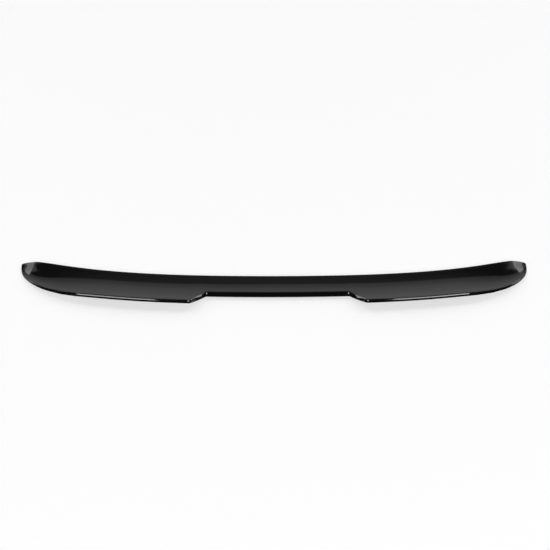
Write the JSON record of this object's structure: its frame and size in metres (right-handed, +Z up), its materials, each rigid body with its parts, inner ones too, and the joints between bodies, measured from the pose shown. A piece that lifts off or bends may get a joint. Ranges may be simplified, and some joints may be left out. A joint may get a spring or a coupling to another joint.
{
  "type": "car rear spoiler",
  "caption": "Slim lip spoiler for a car's boot lid: duck-tail wings either side of a recessed middle, swept creased tips, and a ribbed shell with tape beds underneath.",
  "frame": {"origin": "on the plane the heel stands on, under the middle of the part: halfway between the tips, and halfway between the foremost and the rearmost edge", "axes": "+X along the boot lid, to the right as seen from behind the car; +Y towards the front of the car; +Z up, away from the boot lid"},
  "size_m": [1.25, 0.1655, 0.0268],
  "materials": {
    "gloss_black": "gloss"
  },
  "bodies": {
    "root": {"spoiler": "gloss_black"}
  },
  "joints": []
}
